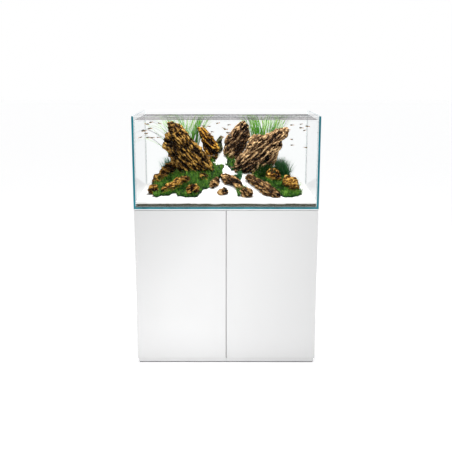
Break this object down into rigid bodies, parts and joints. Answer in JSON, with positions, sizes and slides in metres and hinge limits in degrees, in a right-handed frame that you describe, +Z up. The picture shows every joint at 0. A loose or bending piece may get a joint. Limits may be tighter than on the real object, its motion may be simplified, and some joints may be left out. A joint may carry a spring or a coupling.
{
  "type": "aquarium on stand",
  "caption": "Rimless glass tank with a planted rockscape, on a white cabinet whose two handleless doors swing on concealed hinges with push catches.",
  "frame": {"origin": "centre of the footprint, on the floor", "axes": "+Z up, +X to the right seen from the front, +Y from the doors to the back"},
  "size_m": [0.9, 0.45, 1.25],
  "materials": {
    "white_lacquer": "glossy white lacquer on board",
    "white_board": "white melamine-faced board",
    "hinge_steel": "nickel-plated steel",
    "grey_plastic": "moulded plastic",
    "pad_plastic": "hard plastic",
    "foam": "closed-cell foam sheet",
    "clear_glass": "clear low-iron float glass, polished edges",
    "silicone": "clear silicone",
    "soil": "baked clay granules",
    "sand": "fine white sand",
    "dragon_stone": "pitted, layered clay stone",
    "plant": "live leaves"
  },
  "bodies": {
    "cabinet": {"side_panel_left": "white_board", "side_panel_right": "white_board", "floor_panel": "white_board", "top_panel": "white_board", "back_panel": "white_board", "centre_divider": "white_board", "shelf": "white_board", "shelf_pins": "hinge_steel", "plinth_front": "white_lacquer", "plinth_back": "white_board", "plinth_cross_boards": "white_board", "floor_pads": "pad_plastic", "cam_locks": "hinge_steel", "cam_bolts": "hinge_steel", "cable_grommets": "grey_plastic", "hinge_plates": "hinge_steel", "hinge_arms": "hinge_steel", "hinge_screws": "hinge_steel", "latch_housings": "grey_plastic", "door_bumpers": "silicone", "levelling_mat": "foam", "tank_bottom_glass": "clear_glass", "tank_front_glass": "clear_glass", "tank_back_glass": "clear_glass", "tank_left_glass": "clear_glass", "tank_right_glass": "clear_glass", "silicone_seams": "silicone", "soil_layer": "soil", "sand_bed": "sand", "left_main_rock": "dragon_stone", "left_back_rock": "dragon_stone", "right_back_rock": "dragon_stone", "right_main_rock": "dragon_stone", "small_rocks_left": "dragon_stone", "small_rocks_right": "dragon_stone", "carpet_left": "plant", "carpet_right": "plant", "tall_grass_left": "plant", "tall_grass_right": "plant", "bush_plant": "plant"},
    "left_door": {"left_door": "white_lacquer", "hinge_cups_left": "hinge_steel", "hinge_pins_left": "hinge_steel", "cup_screws_left": "hinge_steel", "strike_plate_left": "hinge_steel"},
    "right_door": {"right_door": "white_lacquer", "hinge_cups_right": "hinge_steel", "hinge_pins_right": "hinge_steel", "cup_screws_right": "hinge_steel", "strike_plate_right": "hinge_steel"},
    "left_plunger": {"latch_plunger_left": "grey_plastic"},
    "right_plunger": {"latch_plunger_right": "grey_plastic"}
  },
  "joints": [
    {"name": "left_door_hinge", "type": "hinge", "parent": "cabinet", "child": "left_door", "pos_m": [-0.4405, -0.2155, 0.4085], "axis": [0, 0, -1], "range_deg": [0, 105]},
    {"name": "right_door_hinge", "type": "hinge", "parent": "cabinet", "child": "right_door", "pos_m": [0.4405, -0.2155, 0.4085], "axis": [0, 0, 1], "range_deg": [0, 105]},
    {"name": "left_plunger_slide", "type": "slide", "parent": "cabinet", "child": "left_plunger", "axis": [0, -1, 0], "range_m": [0, 0.0381]},
    {"name": "right_plunger_slide", "type": "slide", "parent": "cabinet", "child": "right_plunger", "axis": [0, -1, 0], "range_m": [0, 0.0381]}
  ],
  "couplings": [
    {"joint": "left_plunger_slide", "follows": "left_door_hinge", "m_per_rad": 0.02074},
    {"joint": "right_plunger_slide", "follows": "right_door_hinge", "m_per_rad": 0.02074}
  ]
}
